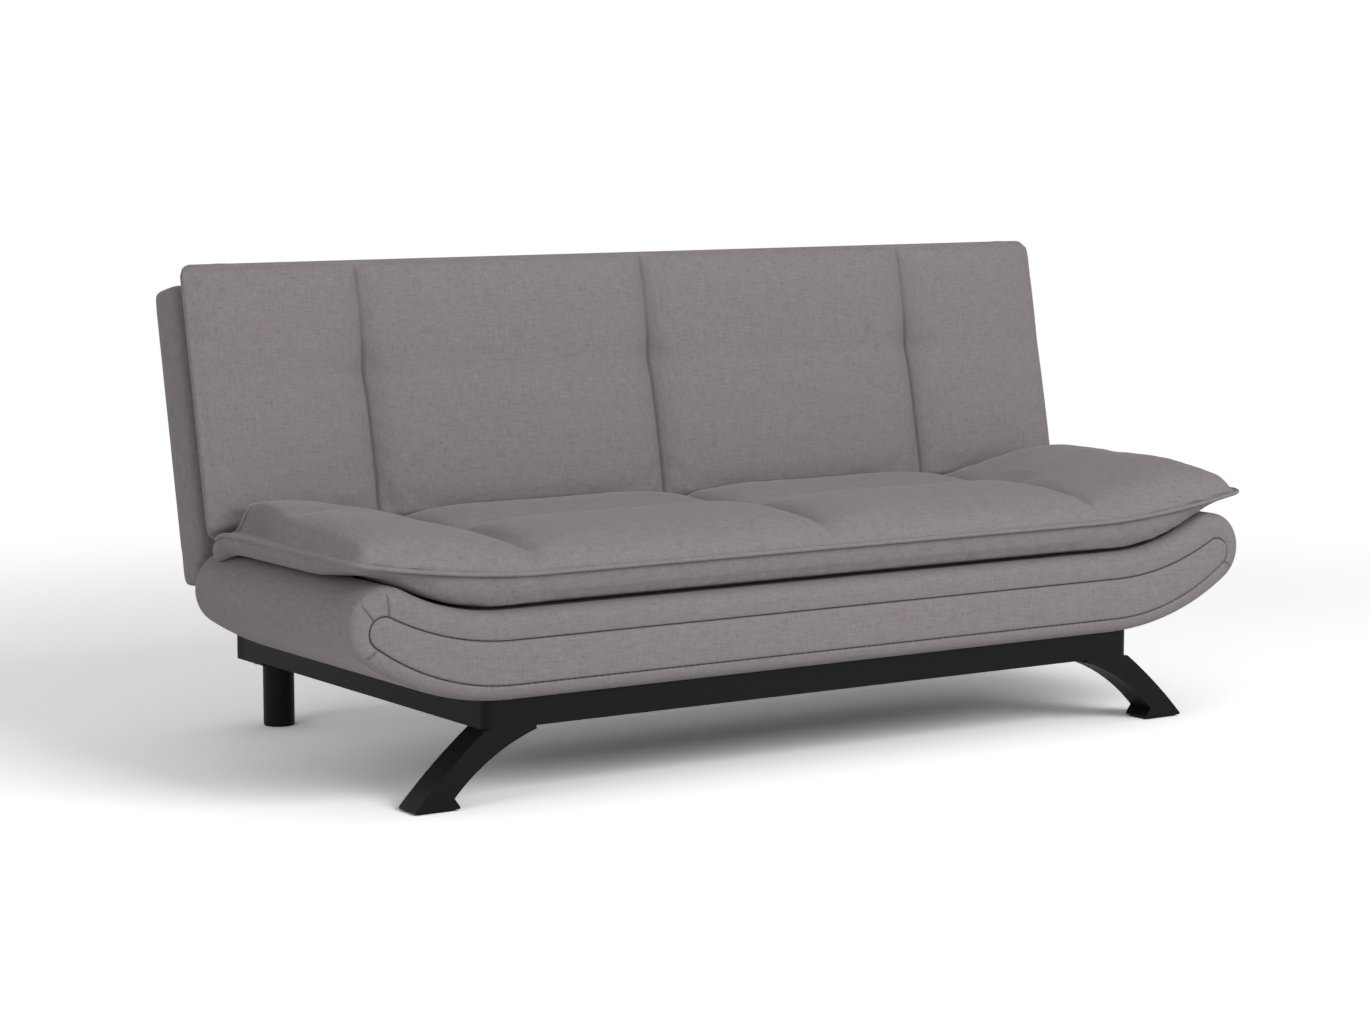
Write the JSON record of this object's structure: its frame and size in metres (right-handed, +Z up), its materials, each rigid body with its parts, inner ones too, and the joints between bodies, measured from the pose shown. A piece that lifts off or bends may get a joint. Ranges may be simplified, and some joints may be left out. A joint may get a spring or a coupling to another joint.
{
  "type": "sofa bed",
  "caption": "Click-clack sofa bed: boat-shaped upholstered seat on a black steel frame with sabre front legs, and a tufted padded back that folds flat to make a bed.",
  "frame": {"origin": "on the floor, under the middle of the sofa's box", "axes": "+X along the sofa to the right as seen from the front, +Y to the rear, +Z up"},
  "size_m": [1.96, 0.9807, 0.9111],
  "materials": {
    "upholstery": "mottled grey woven cloth",
    "frame_steel": "satin black powder coat",
    "cast_leg": "satin black powder coat",
    "black_plastic": "moulded, matt",
    "timber": "sawn plywood and pine",
    "webbing": "woven elastic webbing",
    "foam": "open-cell foam",
    "hinge_steel": "zinc-plated"
  },
  "bodies": {
    "base": {"front_rail": "frame_steel", "rear_rail": "frame_steel", "cross_rail_front": "frame_steel", "cross_rail_rear": "frame_steel", "side_rail_left": "frame_steel", "side_rail_right": "frame_steel", "rear_leg_left": "frame_steel", "rear_leg_right": "frame_steel", "leg_plate_left": "frame_steel", "leg_plate_right": "frame_steel", "front_leg_left": "cast_leg", "front_leg_right": "cast_leg", "rail_end_caps": "black_plastic", "front_foot_glides": "black_plastic", "rear_foot_glides": "black_plastic", "seat_front_board": "timber", "seat_rear_board": "timber", "seat_rib_1": "timber", "seat_rib_2": "timber", "seat_rib_3": "timber", "seat_rib_4": "timber", "seat_webbing": "webbing", "seat_base_foam": "foam", "seat_base_cover": "upholstery", "front_panel": "upholstery", "seat_pad": "upholstery", "hinge_seat_plate_left": "hinge_steel", "hinge_seat_plate_right": "hinge_steel", "hinge_pin_left": "hinge_steel", "hinge_pin_right": "hinge_steel", "hinge_pin_clips": "hinge_steel", "hinge_seat_bolts": "hinge_steel", "seat_bolts": "hinge_steel", "leg_plate_bolts": "hinge_steel"},
    "backrest": {"back_bottom_rail": "timber", "back_top_rail": "timber", "back_stile_1": "timber", "back_stile_2": "timber", "back_stile_3": "timber", "back_stile_4": "timber", "back_webbing": "webbing", "back_foam": "foam", "back_cover": "upholstery", "back_pad": "upholstery", "hinge_back_plate_left": "hinge_steel", "hinge_back_plate_right": "hinge_steel", "pawl_pin_left": "hinge_steel", "pawl_pin_right": "hinge_steel", "hinge_back_bolts": "hinge_steel"},
    "pawl_left": {"pawl_left": "hinge_steel"},
    "pawl_right": {"pawl_right": "hinge_steel"}
  },
  "joints": [
    {"name": "back_recline", "type": "hinge", "parent": "base", "child": "backrest", "pos_m": [0, 0.137, 0.35], "axis": [-1, 0, 0], "range_deg": [0, 78.5]},
    {"name": "pawl_lift_left", "type": "hinge", "parent": "backrest", "child": "pawl_left", "pos_m": [-0.613, 0.17228, 0.34282], "axis": [1, 0, 0], "range_deg": [0, 18], "stiffness_Nm_per_rad": 0.05, "springref_deg": -5.73},
    {"name": "pawl_lift_right", "type": "hinge", "parent": "backrest", "child": "pawl_right", "pos_m": [0.613, 0.17228, 0.34282], "axis": [1, 0, 0], "range_deg": [0, 18], "stiffness_Nm_per_rad": 0.05, "springref_deg": -5.73}
  ]
}
